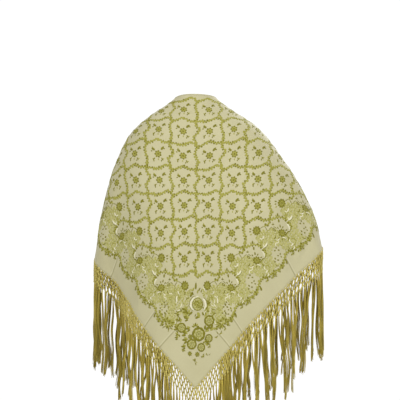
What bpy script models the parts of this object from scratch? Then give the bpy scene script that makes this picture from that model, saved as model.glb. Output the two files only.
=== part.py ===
"""A triangular embroidered shawl with a knotted fringe, as it hangs when it is worn.

The cloth is a right-angled triangle. Its long edge goes round the back of the neck and down both
fronts, its point hangs at the middle of the back, and a knotted fringe edges its two short sides.
The shape is that of the worn cloth with no wearer in it. +Z is up and the wearer faces +Y, so the
point of the triangle hangs on the -Y side. The origin lies in the neck opening, level with the top
edge at the sides of the neck, where the shoulders take the weight. Lengths are in metres.
"""

import math

import bmesh
import bpy
import numpy as np

# The cut
DEPTH = 0.85            # from the middle of the long edge to the point; half the long edge is as long
CLOTH = 0.0012          # thickness of the wall
GAP = 0.0005            # clearance between neighbouring pieces, measured plumb

# The neck opening
NECK_WIDE = 0.059       # half width, side to side
NECK_DEEP = 0.058       # half depth, front to back
NAPE_RISE = 0.024       # how far the edge stands above the origin at the nape
NECK_WRAP = 0.100       # length of each half of the long edge that goes round the neck

# The fringe
NET_DROP = 0.058        # height of the knotted net under the cloth's edge, measured plumb
NET_THICK = 0.0016
STRIP_DROP = 0.0035     # the row of knots that the loose strands leave
STRIP_THICK = 0.0020
STRAND_WIDE = 0.0026
STRAND_DROP = 0.222     # mean length of a loose strand below the net
STRAND_VARY = 0.024     # how much longer or shorter the strands are
STRANDS_A_SIDE = 96      # a whole number for each cloth face, so that no joint falls on a strand

# The mesh
COLUMNS = 48            # cloth faces along each short side
ROWS = 15               # cloth faces from the long edge to the short side
END_TRIM = 0.0008       # how much shorter the fringe is than the short side, at each end
ARC_STEPS = 120         # steps in which a section's length is added up

# Each section is a line on the cloth from the neck to a fringed side. "reach" is where it meets that
# side, from 0 at the point to 1 at a front corner. "length" is how much of its flat length it keeps,
# the rest being taken up by small ripples. The other columns are angles in degrees at the distances
# in STATIONS from the neck: on the neck, on the shoulder, past the shoulder, on the arm and hanging.
# SLOPES holds how far below level a section runs, and HEADINGS the way it runs seen from above,
# measured from straight back round to the front.
STATIONS = (0.0, 0.055, 0.120, 0.200, 0.330, 0.440, 0.520, 0.620)
SLOPE_NAMES = ("reach", "length", "neck", "yoke", "shoulder", "upper", "middle", "lower", "hang", "end")
RIGHT_SLOPES = (
    (0.00, 0.990,  60.0,  50.0,  62.0,  70.0,  72.0,  79.0,  86.0,  90.0),
    (0.12, 0.990,  54.0,  45.0,  60.0,  69.0,  71.0,  77.0,  85.0,  87.0),
    (0.25, 0.990,  52.0,  39.0,  53.0,  64.0,  68.0,  75.0,  84.0,  87.0),
    (0.37, 0.980,  50.0,  33.0,  41.0,  58.0,  63.0,  73.0,  78.0,  79.0),
    (0.43, 0.965,  46.0,  32.0,  35.0,  55.0,  60.0,  66.0,  67.0,  68.0),
    (0.50, 0.955,  42.0,  31.0,  34.0,  52.0,  58.0,  65.0,  79.0,  87.0),
    (0.60, 0.970,  42.0,  35.0,  42.0,  58.0,  65.0,  77.0,  88.0,  89.0),
    (0.75, 0.990,  44.0,  42.0,  60.0,  70.0,  76.0,  84.0,  90.0,  90.0),
    (0.90, 1.000,  46.0,  50.0,  68.0,  76.0,  82.0,  88.0,  91.0,  92.0),
    (1.00, 1.000,  48.0,  54.0,  70.0,  78.0,  84.0,  90.0,  92.0,  92.0),
)
LEFT_SLOPES = (
    (0.00, 0.990,  60.0,  50.0,  62.0,  70.0,  72.0,  79.0,  86.0,  90.0),
    (0.12, 0.990,  54.0,  45.0,  60.0,  69.0,  71.0,  78.0,  87.0,  86.0),
    (0.25, 0.980,  52.0,  40.0,  52.0,  66.0,  71.0,  80.0,  87.0,  82.0),
    (0.37, 0.970,  50.0,  35.0,  41.0,  60.0,  75.0,  83.0,  83.0,  84.0),
    (0.43, 0.955,  46.0,  33.0,  37.0,  61.0,  69.0,  78.0,  77.0,  72.0),
    (0.50, 0.950,  42.0,  32.0,  37.0,  61.0,  73.0,  77.0,  84.0,  88.0),
    (0.60, 0.970,  42.0,  33.0,  42.0,  65.0,  74.0,  80.0,  88.0,  89.0),
    (0.75, 0.990,  44.0,  40.0,  56.0,  70.0,  77.0,  85.0,  90.0,  90.0),
    (0.90, 1.000,  46.0,  48.0,  66.0,  76.0,  82.0,  88.0,  91.0,  92.0),
    (1.00, 1.000,  48.0,  52.0,  70.0,  78.0,  84.0,  90.0,  92.0,  92.0),
)
HEADING_NAMES = ("reach", "neck", "yoke", "shoulder", "upper", "middle", "lower", "hang", "end")
RIGHT_HEADINGS = (
    (0.00,   0.0,   0.0,   0.0,   0.0,   0.0,   0.0,   0.0,   0.0),
    (0.12,   6.0,   9.0,  14.0,  18.0,  21.0,  29.0,  50.0,  80.0),
    (0.25,  18.0,  22.0,  29.0,  38.0,  53.0,  67.0,  93.0, 113.0),
    (0.37,  34.0,  38.0,  43.0,  64.0,  83.0,  98.0, 117.0, 125.0),
    (0.43,  48.0,  51.0,  56.0,  81.0,  84.0,  90.0, 108.0, 124.0),
    (0.50,  68.0,  72.0,  77.0,  90.0,  94.0, 103.0, 113.0, 118.0),
    (0.60,  97.0, 101.0, 106.0, 112.0, 116.0, 120.0, 122.0, 122.0),
    (0.75, 128.0, 130.0, 133.0, 135.0, 136.0, 138.0, 138.0, 138.0),
    (0.90, 158.0, 158.0, 158.0, 158.0, 158.0, 158.0, 158.0, 158.0),
    (1.00, 176.0, 176.0, 176.0, 176.0, 176.0, 176.0, 176.0, 176.0),
)
LEFT_HEADINGS = (
    (0.00,   0.0,   0.0,   0.0,   0.0,   0.0,   0.0,   0.0,   0.0),
    (0.12,   6.0,   9.0,  14.0,  19.0,  22.0,  33.0,  61.0,  91.0),
    (0.25,  18.0,  22.0,  30.0,  41.0,  55.0,  77.0, 108.0, 125.0),
    (0.37,  34.0,  38.0,  46.0,  72.0,  98.0, 120.0, 136.0, 137.0),
    (0.43,  48.0,  51.0,  58.0,  82.0,  99.0, 113.0, 131.0, 138.0),
    (0.50,  68.0,  72.0,  78.0,  98.0, 110.0, 123.0, 132.0, 134.0),
    (0.60,  97.0, 101.0, 107.0, 117.0, 123.0, 127.0, 128.0, 128.0),
    (0.75, 130.0, 132.0, 135.0, 137.0, 138.0, 140.0, 140.0, 140.0),
    (0.90, 160.0, 160.0, 160.0, 160.0, 160.0, 160.0, 160.0, 160.0),
    (1.00, 176.0, 176.0, 176.0, 176.0, 176.0, 176.0, 176.0, 176.0),
)

# The largest folds, which fan out from the shoulders and are deepest at the fringe. "middle" and
# "width" are where a fold lies, as "reach" above; "height" is how far it stands out at the fringe,
# and "start" is how far down its section it begins, from 0 at the neck to 1 at the fringe.
FOLD_NAMES = ("middle", "width", "height", "start")
FRONT_FOLDS = (
    (0.60, 0.060,  0.014, 0.30),
    (0.67, 0.055, -0.015, 0.32),
    (0.745, 0.060, 0.019, 0.28),
    (0.82, 0.055, -0.016, 0.35),
    (0.895, 0.060, 0.017, 0.35),
    (0.965, 0.050, -0.012, 0.40),
)
RIGHT_FOLDS = (
    (0.17, 0.070, -0.005, 0.45),
    (0.33, 0.060,  0.006, 0.50),
    (0.42, 0.050, -0.006, 0.55),
) + FRONT_FOLDS
LEFT_FOLDS = (
    (0.13, 0.060,  0.004, 0.50),
    (0.27, 0.060, -0.006, 0.45),
    (0.40, 0.055,  0.007, 0.55),
) + FRONT_FOLDS

COLOURS = {
    "cloth": (0.60, 0.57, 0.38),
    "thread": (0.36, 0.32, 0.08),
}


def clear_scene():
    for old in list(bpy.data.objects):
        bpy.data.objects.remove(old, do_unlink=True)


def material(name, colour, roughness):
    """A Principled material of one colour."""
    made = bpy.data.materials.new(name)
    made.use_nodes = True
    shader = made.node_tree.nodes["Principled BSDF"]
    shader.inputs["Base Color"].default_value = (*colour, 1.0)
    shader.inputs["Roughness"].default_value = roughness
    shader.inputs["Metallic"].default_value = 0.0
    return made


def smooth_rows(rows, at, level_start):
    """The table's columns at the values "at" of its first column, on one smooth curve per column.

    With level_start the curves leave the first row level, so that both sides meet without a crease.
    """
    table = np.array(rows, float)
    x = table[:, 0]
    tangent = np.gradient(table, x, axis=0)
    if level_start:
        tangent[0, 1:] = 0.0
    i = np.clip(np.searchsorted(x, at, side="right") - 1, 0, len(x) - 2)
    h = (x[i + 1] - x[i])[:, None]
    u = ((at - x[i]) / (x[i + 1] - x[i]))[:, None]
    return (
        (2 * u**3 - 3 * u**2 + 1) * table[i]
        + (u**3 - 2 * u**2 + u) * h * tangent[i]
        + (-2 * u**3 + 3 * u**2) * table[i + 1]
        + (u**3 - u**2) * h * tangent[i + 1]
    )


def flat_line(reach):
    """Where each section starts on the long edge and ends on the short side, on the flat cloth."""
    start = np.stack([NECK_WRAP * np.sin(reach * math.pi / 2), np.zeros_like(reach)], axis=1)
    end = np.stack([DEPTH * reach, DEPTH * (1 - reach)], axis=1)
    return start, end


def along_section(columns, walked):
    """One angle at every step of each section, eased between the stations."""
    angle = np.stack([np.interp(walked[k], STATIONS, columns[k]) for k in range(len(columns))])
    kernel = np.hanning(15)
    padded = np.pad(angle, ((0, 0), (7, 7)), mode="edge")
    return np.radians(np.stack([np.convolve(row, kernel / kernel.sum(), mode="valid") for row in padded]))


def sections(reach, side, slopes, headings):
    """Points down each section, evenly spaced: an array of sections by ARC_STEPS + 1 by 3.

    A section starts on the neck's ellipse. Each of its steps has the same length and goes the way
    that the tables give for its distance from the neck.
    """
    start, end = flat_line(reach)
    length = np.linalg.norm(end - start, axis=1)
    columns = smooth_rows(slopes, reach, True)
    turn = start[:, 0] / ((NECK_WIDE + NECK_DEEP) / 2)
    neck = np.stack(
        [NECK_WIDE * np.sin(turn), -NECK_DEEP * np.cos(turn), NAPE_RISE * (np.cos(turn / 2) ** 2 - 0.5)], axis=1
    )
    walked = (np.arange(ARC_STEPS) + 0.5) / ARC_STEPS * length[:, None]
    slope = along_section(columns[:, 2:], walked)
    heading = along_section(smooth_rows(headings, reach, False)[:, 1:], walked)
    step = (length * columns[:, 1] / ARC_STEPS)[:, None]
    level = np.cos(slope) * step
    path = np.stack([level * np.sin(heading), -level * np.cos(heading), -np.sin(slope) * step], axis=2)
    points = np.concatenate([neck[:, None, :], neck[:, None, :] + np.cumsum(path, axis=1)], axis=1)
    points[:, :, 0] *= side
    return points


def normals(grid, side):
    """Unit normals of a grid of points, away from the wearer."""
    across = np.gradient(grid, axis=0)
    down = np.gradient(grid, axis=1)
    out = np.cross(down, across) * side
    return out / np.maximum(np.linalg.norm(out, axis=2, keepdims=True), 1e-9)


def folded(grid, reach, share, side, folds):
    """The grid with each fold raised along its normals. A fold is a soft ridge or trough."""
    raised = np.zeros(grid.shape[:2])
    for middle, width, height, start in folds:
        across = np.exp(-((reach - middle) / (width / 2)) ** 2)[:, None]
        down = np.clip((share - start) / (1 - start), 0, 1)[None, :]
        raised += height * across * down**1.3
    return grid + normals(grid, side) * raised[:, :, None]


def draped(reach, share, side):
    """The worn cloth on one side, at each "reach" along the short side and "share" down a section."""
    if side > 0:
        slopes, headings, folds = RIGHT_SLOPES, RIGHT_HEADINGS, RIGHT_FOLDS
    else:
        slopes, headings, folds = LEFT_SLOPES, LEFT_HEADINGS, LEFT_FOLDS
    points = sections(reach, side, slopes, headings)
    at = share * ARC_STEPS
    low = np.clip(np.floor(at).astype(int), 0, ARC_STEPS - 1)
    part = (at - low)[None, :, None]
    grid = points[:, low] * (1 - part) + points[:, low + 1] * part
    return folded(grid, reach, share, side, folds)


def mesh_object(name, vertices, faces, finish, smooth=True):
    mesh = bpy.data.meshes.new(name)
    mesh.from_pydata([tuple(v) for v in vertices], [], faces)
    mesh.update()
    made = bpy.data.objects.new(name, mesh)
    bpy.context.scene.collection.objects.link(made)
    mesh.materials.append(finish)
    if smooth:
        mesh.shade_smooth()
        mesh.set_sharp_from_angle(angle=math.radians(50))
    return made


def solid_grid(inner, outer):
    """Vertices and faces of the wall between two grids of points of the same size."""
    n, m = inner.shape[:2]
    vertices = np.concatenate([inner.reshape(-1, 3), outer.reshape(-1, 3)])

    def at(layer, i, j):
        return layer * n * m + i * m + j

    faces = []
    for i in range(n - 1):
        for j in range(m - 1):
            faces.append((at(1, i, j), at(1, i, j + 1), at(1, i + 1, j + 1), at(1, i + 1, j)))
            faces.append((at(0, i, j), at(0, i + 1, j), at(0, i + 1, j + 1), at(0, i, j + 1)))
    rim = (
        [(i, 0) for i in range(n)]
        + [(n - 1, j) for j in range(1, m)]
        + [(i, m - 1) for i in range(n - 2, -1, -1)]
        + [(0, j) for j in range(m - 2, 0, -1)]
    )
    for (i, j), (k, l) in zip(rim, rim[1:] + rim[:1]):
        faces.append((at(0, i, j), at(1, i, j), at(1, k, l), at(0, k, l)))
    return vertices, faces


def outward(made):
    """Turns every face of a closed mesh outwards."""
    work = bmesh.new()
    work.from_mesh(made.data)
    bmesh.ops.recalc_face_normals(work, faces=work.faces)
    work.to_mesh(made.data)
    work.free()
    return made


def whole_cloth():
    """The cloth's middle surface from one front corner to the other, by columns and rows."""
    reach = np.linspace(0, 1, COLUMNS + 1)
    share = np.linspace(0, 1, ROWS + 1)
    left = draped(reach, share, -1.0)
    right = draped(reach, share, 1.0)
    return np.concatenate([left[::-1], right[1:]])


def make_cloth(finish):
    grid = whole_cloth()
    out = np.cross(np.gradient(grid, axis=0), np.gradient(grid, axis=1))
    out = out / np.maximum(np.linalg.norm(out, axis=2, keepdims=True), 1e-9)
    vertices, faces = solid_grid(grid - out * CLOTH / 2, grid + out * CLOTH / 2)
    return outward(mesh_object("cloth", vertices, faces, finish))


def edge_line(side):
    """The edge of one short side at the cloth's columns, and the cloth's normal there.

    The last face at the point and at the corner is cut short, so that the pieces that hang there
    stay clear of their neighbours.
    """
    reach = np.linspace(0, 1, COLUMNS + 1)
    cloth = draped(reach, np.linspace(0, 1, ROWS + 1), side)
    before, edge = cloth[:, -2], cloth[:, -1]
    along = np.gradient(edge, axis=0)
    out = np.cross(edge - before, along) * side
    out[:, 2] = 0.0
    out /= np.linalg.norm(out, axis=1, keepdims=True)
    reach[0], reach[-1] = END_TRIM, 1 - END_TRIM
    for line in (edge, out):
        line[0] += (line[1] - line[0]) * END_TRIM * COLUMNS
        line[-1] += (line[-2] - line[-1]) * END_TRIM * COLUMNS
    return reach, edge, out


def plumb_band(edge, out, top, bottom, thick, steps):
    """The inner and outer grids of a band that hangs plumb under the edge, between two depths."""
    drop = np.linspace(top, bottom, steps + 1)
    middle = edge[:, None, :] - drop[None, :, None] * np.array([0.0, 0.0, 1.0])
    half = out[:, None, :] * thick / 2
    return middle - half, middle + half


def make_net(name, side, finish):
    """The knotted net under one short side, as a plain band."""
    reach, edge, out = edge_line(side)
    top = CLOTH + GAP
    inner, outer = plumb_band(edge, out, top, top + NET_DROP, NET_THICK, 2)
    vertices, faces = solid_grid(inner, outer)
    return outward(mesh_object(name, vertices, faces, finish))


def make_fringe(name, side, finish):
    """The strands under one net. They leave the underside of a narrow strip, which backs them all."""
    reach, edge, out = edge_line(side)
    pitch = 1.0 / STRANDS_A_SIDE
    half = STRAND_WIDE / (DEPTH * math.sqrt(2)) / 2
    middle = (np.arange(STRANDS_A_SIDE) + 0.5) * pitch
    columns = np.sort(np.concatenate([reach, middle - half, middle + half]))
    edge = np.stack([np.interp(columns, reach, edge[:, k]) for k in range(3)], axis=1)
    out = np.stack([np.interp(columns, reach, out[:, k]) for k in range(3)], axis=1)
    top = CLOTH + GAP + NET_DROP + 2 * GAP
    inner, outer = plumb_band(edge, out, top, top + STRIP_DROP, STRIP_THICK, 1)
    vertices, faces = solid_grid(inner, outer)
    made = outward(mesh_object(name, vertices, faces, finish, smooth=False))

    work = bmesh.new()
    work.from_mesh(made.data)
    bottoms = {}
    for face in work.faces:
        places = {((v.index // 2) % len(columns), v.index % 2) for v in face.verts}
        if len(places) == 2 and all(row for _, row in places):
            bottoms[min(column for column, _ in places)] = face
    chance = np.random.default_rng(7 if side > 0 else 11)
    roots = [bottoms[int(np.argmin(np.abs(columns - (m - half))))] for m in middle]
    for face in roots:
        hang = STRAND_DROP + STRAND_VARY * chance.uniform(-1, 1)
        sway = chance.uniform(-0.0014, 0.0014, 4)
        shifts = ((sway[0], sway[1], -0.35 * hang), (sway[2], sway[3], -0.4 * hang), (0.0, 0.0, -0.25 * hang))
        for shift in shifts:
            face = bmesh.ops.extrude_discrete_faces(work, faces=[face])["faces"][0]
            bmesh.ops.translate(work, verts=face.verts, vec=shift)
        centre = face.calc_center_median()
        for corner in face.verts:
            corner.co = centre + (corner.co - centre) * 0.7
    work.to_mesh(made.data)
    work.free()
    return outward(made)


def main():
    clear_scene()
    cloth = material("cloth", COLOURS["cloth"], 0.6)
    thread = material("thread", COLOURS["thread"], 0.45)
    make_cloth(cloth)
    for name, side in (("right", 1.0), ("left", -1.0)):
        make_net("net_" + name, side, thread)
        make_fringe("fringe_" + name, side, thread)


main()
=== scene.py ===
# %% [markdown]
# # An embroidered shawl with a knotted fringe
#
# This lesson dresses a plain model of a worn shawl. The plain model gives the sizes and the place of
# each piece: the cloth's wall, two bands where the knotted nets go, and two rows of strands. Here
# each of them is replaced by a finer piece on the same form.
#
# The real thing is a triangle of crepe, half a square, worn with its long edge round the neck. The
# embroidery is satin stitch in silky thread, and the fringe is knotted by hand into a net and then
# hangs loose.

# %% Load the plain model
import math
import numpy as np
import bpy
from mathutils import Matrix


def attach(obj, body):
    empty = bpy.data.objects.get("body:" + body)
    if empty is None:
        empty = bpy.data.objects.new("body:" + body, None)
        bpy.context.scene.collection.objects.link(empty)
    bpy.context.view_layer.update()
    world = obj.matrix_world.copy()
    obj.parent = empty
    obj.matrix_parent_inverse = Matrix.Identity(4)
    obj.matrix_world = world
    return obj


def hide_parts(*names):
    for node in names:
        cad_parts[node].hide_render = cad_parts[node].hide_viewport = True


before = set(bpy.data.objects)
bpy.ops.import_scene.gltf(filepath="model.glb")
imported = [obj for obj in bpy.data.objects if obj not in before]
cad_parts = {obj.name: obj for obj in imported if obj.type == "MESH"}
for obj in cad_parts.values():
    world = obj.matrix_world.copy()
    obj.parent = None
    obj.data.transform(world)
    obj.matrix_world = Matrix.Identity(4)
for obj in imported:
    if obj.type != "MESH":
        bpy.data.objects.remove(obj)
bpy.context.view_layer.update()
print("nodes:", sorted(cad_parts))

# %% [markdown]
# ## Shader maths as plain expressions
#
# A shader is a small program made of nodes. Wiring each addition by hand makes long scripts, so one
# small class wraps an output socket. Adding or multiplying two wrapped sockets adds the Math node
# that does it. Any other node comes from the one method `node`.

# %% A socket that takes part in sums
class Sock:
    """An output socket of a node tree. Operators on it add Math nodes and give the new output."""

    def __init__(self, tree, out):
        self.tree, self.out = tree, out

    def math(self, kind, *others):
        sockets = dict(enumerate((self,) + others))
        return Sock.node(self.tree, "ShaderNodeMath", {"operation": kind}, sockets)

    def __add__(self, other): return self.math("ADD", other)
    def __mul__(self, other): return self.math("MULTIPLY", other)
    def __sub__(self, other): return self.math("SUBTRACT", other)
    def __rsub__(self, other): return self.math("MULTIPLY", -1.0).math("ADD", other)
    __radd__, __rmul__ = __add__, __mul__

    def clamp(self):
        settings = {"operation": "ADD", "use_clamp": True}
        return Sock.node(self.tree, "ShaderNodeMath", settings, {0: self, 1: 0.0})

    @staticmethod
    def node(tree, kind, settings=None, inputs=None, output=0):
        """Add a node, set its settings first and then its sockets, and wrap the output asked for."""
        made = tree.nodes.new(kind)
        for name, value in (settings or {}).items():
            setattr(made, name, value)
        for name, value in (inputs or {}).items():
            if isinstance(value, Sock):
                tree.links.new(value.out, made.inputs[name])
            else:
                made.inputs[name].default_value = value
        return Sock(tree, made.outputs[output])


def srgb(red, green, blue):
    """A colour given as 0-255 screen values, as the linear values that shaders take."""
    def line(v):
        v = v / 255.0
        return v / 12.92 if v <= 0.04045 else ((v + 0.055) / 1.055) ** 2.4
    return (line(red), line(green), line(blue), 1.0)


def mix(tree, share, a, b):
    """A colour between a and b."""
    return Sock.node(tree, "ShaderNodeMix", {"data_type": "RGBA"}, {0: share, 6: a, 7: b}, 2)


def flat_place(tree):
    """The piece's own UV map, which is in metres on the flat cloth or along a yarn."""
    return Sock.node(tree, "ShaderNodeUVMap", {"uv_map": "flat"})


def object_place(tree):
    """The place on the object in metres, which is the place in the scene."""
    return Sock.node(tree, "ShaderNodeTexCoord", output=3)


def noise(tree, place, scale, detail=2.0):
    """Soft blotches about 1 / scale of a metre wide."""
    return Sock.node(tree, "ShaderNodeTexNoise", {}, {"Vector": place, "Scale": scale, "Detail": detail})


def bands(tree, place, way, scale, distortion, detail=2.0):
    """Soft light and dark bands that follow each other in the way named."""
    return Sock.node(tree, "ShaderNodeTexWave", {"wave_type": "BANDS", "bands_direction": way},
                     {"Vector": place, "Scale": scale, "Distortion": distortion, "Detail": detail}, 1)


def relief(tree, height, strength, distance):
    """A normal that tilts as a height map rises and falls."""
    sockets = {"Strength": strength, "Distance": distance, "Height": height}
    return Sock.node(tree, "ShaderNodeBump", {}, sockets)


def finish(name, build, **constants):
    """A Principled material. build(tree) gives the sockets that vary, constants set the others."""
    material = bpy.data.materials.new(name)
    material.use_nodes = True
    tree = material.node_tree
    shader = tree.nodes["Principled BSDF"]
    for socket, value in constants.items():
        shader.inputs[socket.replace("_", " ")].default_value = value
    for socket, value in build(tree).items():
        tree.links.new(value.out, shader.inputs[socket])
    return material

# %% [markdown]
# ## The worn form
#
# A shawl can be draped by a cloth simulation over a figure, but then its edge and its pattern end up
# where the simulation leaves them. Here the form is a function instead. A section is a line on the
# cloth from the neck to a fringed side. It starts on the neck's ellipse and is walked in small equal
# steps, each with a slope and a heading from a short table. Its length is the length of the same
# line on the flat triangle, so the cloth keeps its size.

# %% The cut and the sections
DEPTH = 0.85            # from the middle of the long edge to the point; half the long edge is as long
NECK_WIDE, NECK_DEEP, NAPE_RISE, NECK_WRAP = 0.059, 0.058, 0.024, 0.100
ARC_STEPS = 120         # steps down each section
STATIONS = (0.0, 0.055, 0.120, 0.200, 0.330, 0.440, 0.520, 0.620)     # metres from the neck
STATION_EASE = 7        # steps on each side over which one station's angle passes into the next

# How steeply each section falls, in degrees below level. Columns: its reach along the short side, the
# share of its flat length, and the slope at each station: neck, yoke, shoulder, upper, middle, lower,
# hang and end.
RIGHT_SLOPES = (
    (0.00, 0.990,  60.0,  50.0,  62.0,  70.0,  72.0,  79.0,  86.0,  90.0),
    (0.12, 0.990,  54.0,  45.0,  60.0,  69.0,  71.0,  77.0,  85.0,  87.0),
    (0.25, 0.990,  52.0,  39.0,  53.0,  64.0,  68.0,  75.0,  84.0,  87.0),
    (0.37, 0.980,  50.0,  33.0,  41.0,  58.0,  63.0,  73.0,  78.0,  79.0),
    (0.43, 0.965,  46.0,  32.0,  35.0,  55.0,  60.0,  66.0,  67.0,  68.0),
    (0.50, 0.955,  42.0,  31.0,  34.0,  52.0,  58.0,  65.0,  79.0,  87.0),
    (0.60, 0.970,  42.0,  35.0,  42.0,  58.0,  65.0,  77.0,  88.0,  89.0),
    (0.75, 0.990,  44.0,  42.0,  60.0,  70.0,  76.0,  84.0,  90.0,  90.0),
    (0.90, 1.000,  46.0,  50.0,  68.0,  76.0,  82.0,  88.0,  91.0,  92.0),
    (1.00, 1.000,  48.0,  54.0,  70.0,  78.0,  84.0,  90.0,  92.0,  92.0),
)
LEFT_SLOPES = (
    (0.00, 0.990,  60.0,  50.0,  62.0,  70.0,  72.0,  79.0,  86.0,  90.0),
    (0.12, 0.990,  54.0,  45.0,  60.0,  69.0,  71.0,  78.0,  87.0,  86.0),
    (0.25, 0.980,  52.0,  40.0,  52.0,  66.0,  71.0,  80.0,  87.0,  82.0),
    (0.37, 0.970,  50.0,  35.0,  41.0,  60.0,  75.0,  83.0,  83.0,  84.0),
    (0.43, 0.955,  46.0,  33.0,  37.0,  61.0,  69.0,  78.0,  77.0,  72.0),
    (0.50, 0.950,  42.0,  32.0,  37.0,  61.0,  73.0,  77.0,  84.0,  88.0),
    (0.60, 0.970,  42.0,  33.0,  42.0,  65.0,  74.0,  80.0,  88.0,  89.0),
    (0.75, 0.990,  44.0,  40.0,  56.0,  70.0,  77.0,  85.0,  90.0,  90.0),
    (0.90, 1.000,  46.0,  48.0,  66.0,  76.0,  82.0,  88.0,  91.0,  92.0),
    (1.00, 1.000,  48.0,  52.0,  70.0,  78.0,  84.0,  90.0,  92.0,  92.0),
)

# Which way each section heads, in degrees from straight back. Columns: its reach, and the heading at
# each station.
RIGHT_HEADINGS = (
    (0.00,   0.0,   0.0,   0.0,   0.0,   0.0,   0.0,   0.0,   0.0),
    (0.12,   6.0,   9.0,  14.0,  18.0,  21.0,  29.0,  50.0,  80.0),
    (0.25,  18.0,  22.0,  29.0,  38.0,  53.0,  67.0,  93.0, 113.0),
    (0.37,  34.0,  38.0,  43.0,  64.0,  83.0,  98.0, 117.0, 125.0),
    (0.43,  48.0,  51.0,  56.0,  81.0,  84.0,  90.0, 108.0, 124.0),
    (0.50,  68.0,  72.0,  77.0,  90.0,  94.0, 103.0, 113.0, 118.0),
    (0.60,  97.0, 101.0, 106.0, 112.0, 116.0, 120.0, 122.0, 122.0),
    (0.75, 128.0, 130.0, 133.0, 135.0, 136.0, 138.0, 138.0, 138.0),
    (0.90, 158.0, 158.0, 158.0, 158.0, 158.0, 158.0, 158.0, 158.0),
    (1.00, 176.0, 176.0, 176.0, 176.0, 176.0, 176.0, 176.0, 176.0),
)
LEFT_HEADINGS = (
    (0.00,   0.0,   0.0,   0.0,   0.0,   0.0,   0.0,   0.0,   0.0),
    (0.12,   6.0,   9.0,  14.0,  19.0,  22.0,  33.0,  61.0,  91.0),
    (0.25,  18.0,  22.0,  30.0,  41.0,  55.0,  77.0, 108.0, 125.0),
    (0.37,  34.0,  38.0,  46.0,  72.0,  98.0, 120.0, 136.0, 137.0),
    (0.43,  48.0,  51.0,  58.0,  82.0,  99.0, 113.0, 131.0, 138.0),
    (0.50,  68.0,  72.0,  78.0,  98.0, 110.0, 123.0, 132.0, 134.0),
    (0.60,  97.0, 101.0, 107.0, 117.0, 123.0, 127.0, 128.0, 128.0),
    (0.75, 130.0, 132.0, 135.0, 137.0, 138.0, 140.0, 140.0, 140.0),
    (0.90, 160.0, 160.0, 160.0, 160.0, 160.0, 160.0, 160.0, 160.0),
    (1.00, 176.0, 176.0, 176.0, 176.0, 176.0, 176.0, 176.0, 176.0),
)

# The largest folds, which fan out from the shoulders and are deepest at the fringe. Columns: a fold's
# middle and width, as a reach; how far it stands out at the fringe; and how far down its section it
# starts, from 0 at the neck to 1 at the fringe.
FRONT_FOLDS = (
    (0.60, 0.060,  0.014, 0.30),
    (0.67, 0.055, -0.015, 0.32),
    (0.745, 0.060, 0.019, 0.28),
    (0.82, 0.055, -0.016, 0.35),
    (0.895, 0.060, 0.017, 0.35),
    (0.965, 0.050, -0.012, 0.40),
)
RIGHT_FOLDS = (
    (0.17, 0.070, -0.005, 0.45),
    (0.33, 0.060,  0.006, 0.50),
    (0.42, 0.050, -0.006, 0.55),
) + FRONT_FOLDS
LEFT_FOLDS = (
    (0.13, 0.060,  0.004, 0.50),
    (0.27, 0.060, -0.006, 0.45),
    (0.40, 0.055,  0.007, 0.55),
) + FRONT_FOLDS

# %% Walk the sections
def unit(vectors):
    """The same vectors with length 1."""
    return vectors / np.maximum(np.linalg.norm(vectors, axis=-1, keepdims=True), 1e-9)


def smooth_rows(rows, at, level_start):
    """The table's columns at the values "at" of its first column, on one smooth curve per column.

    With level_start the curves leave the first row level, so that both sides meet without a crease.
    """
    table = np.array(rows, float)
    x = table[:, 0]
    tangent = np.gradient(table, x, axis=0)
    if level_start:
        tangent[0, 1:] = 0.0
    i = np.clip(np.searchsorted(x, at, side="right") - 1, 0, len(x) - 2)
    h = (x[i + 1] - x[i])[:, None]
    u = ((at - x[i]) / (x[i + 1] - x[i]))[:, None]
    return (
        (2 * u**3 - 3 * u**2 + 1) * table[i]
        + (u**3 - 2 * u**2 + u) * h * tangent[i]
        + (-2 * u**3 + 3 * u**2) * table[i + 1]
        + (u**3 - u**2) * h * tangent[i + 1]
    )


def flat_line(reach):
    """Where each section starts on the long edge and ends on the short side, on the flat cloth."""
    start = np.stack([NECK_WRAP * np.sin(reach * math.pi / 2), np.zeros_like(reach)], axis=1)
    end = np.stack([DEPTH * reach, DEPTH * (1 - reach)], axis=1)
    return start, end


def along_section(columns, walked):
    """One angle at every step of each section, eased between the stations."""
    angle = np.stack([np.interp(walked[k], STATIONS, columns[k]) for k in range(len(columns))])
    kernel = np.hanning(2 * STATION_EASE + 1)
    padded = np.pad(angle, ((0, 0), (STATION_EASE, STATION_EASE)), mode="edge")
    mean = [np.convolve(row, kernel / kernel.sum(), mode="valid") for row in padded]
    return np.radians(np.stack(mean))


def sections(reach, side, slopes, headings):
    """Points down each section, evenly spaced: an array of sections by ARC_STEPS + 1 by 3.

    A section starts on the neck's ellipse. Each of its steps has the same length and goes the way
    that the tables give for its distance from the neck.
    """
    start, end = flat_line(reach)
    length = np.linalg.norm(end - start, axis=1)
    columns = smooth_rows(slopes, reach, True)
    turn = start[:, 0] / ((NECK_WIDE + NECK_DEEP) / 2)
    neck = np.stack([NECK_WIDE * np.sin(turn), -NECK_DEEP * np.cos(turn),
                     NAPE_RISE * (np.cos(turn / 2) ** 2 - 0.5)], axis=1)
    walked = (np.arange(ARC_STEPS) + 0.5) / ARC_STEPS * length[:, None]
    slope = along_section(columns[:, 2:], walked)
    heading = along_section(smooth_rows(headings, reach, False)[:, 1:], walked)
    step = (length * columns[:, 1] / ARC_STEPS)[:, None]
    level = np.cos(slope) * step
    path = np.stack([level * np.sin(heading), -level * np.cos(heading), -np.sin(slope) * step], axis=2)
    points = np.concatenate([neck[:, None, :], neck[:, None, :] + np.cumsum(path, axis=1)], axis=1)
    points[:, :, 0] *= side
    return points


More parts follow.
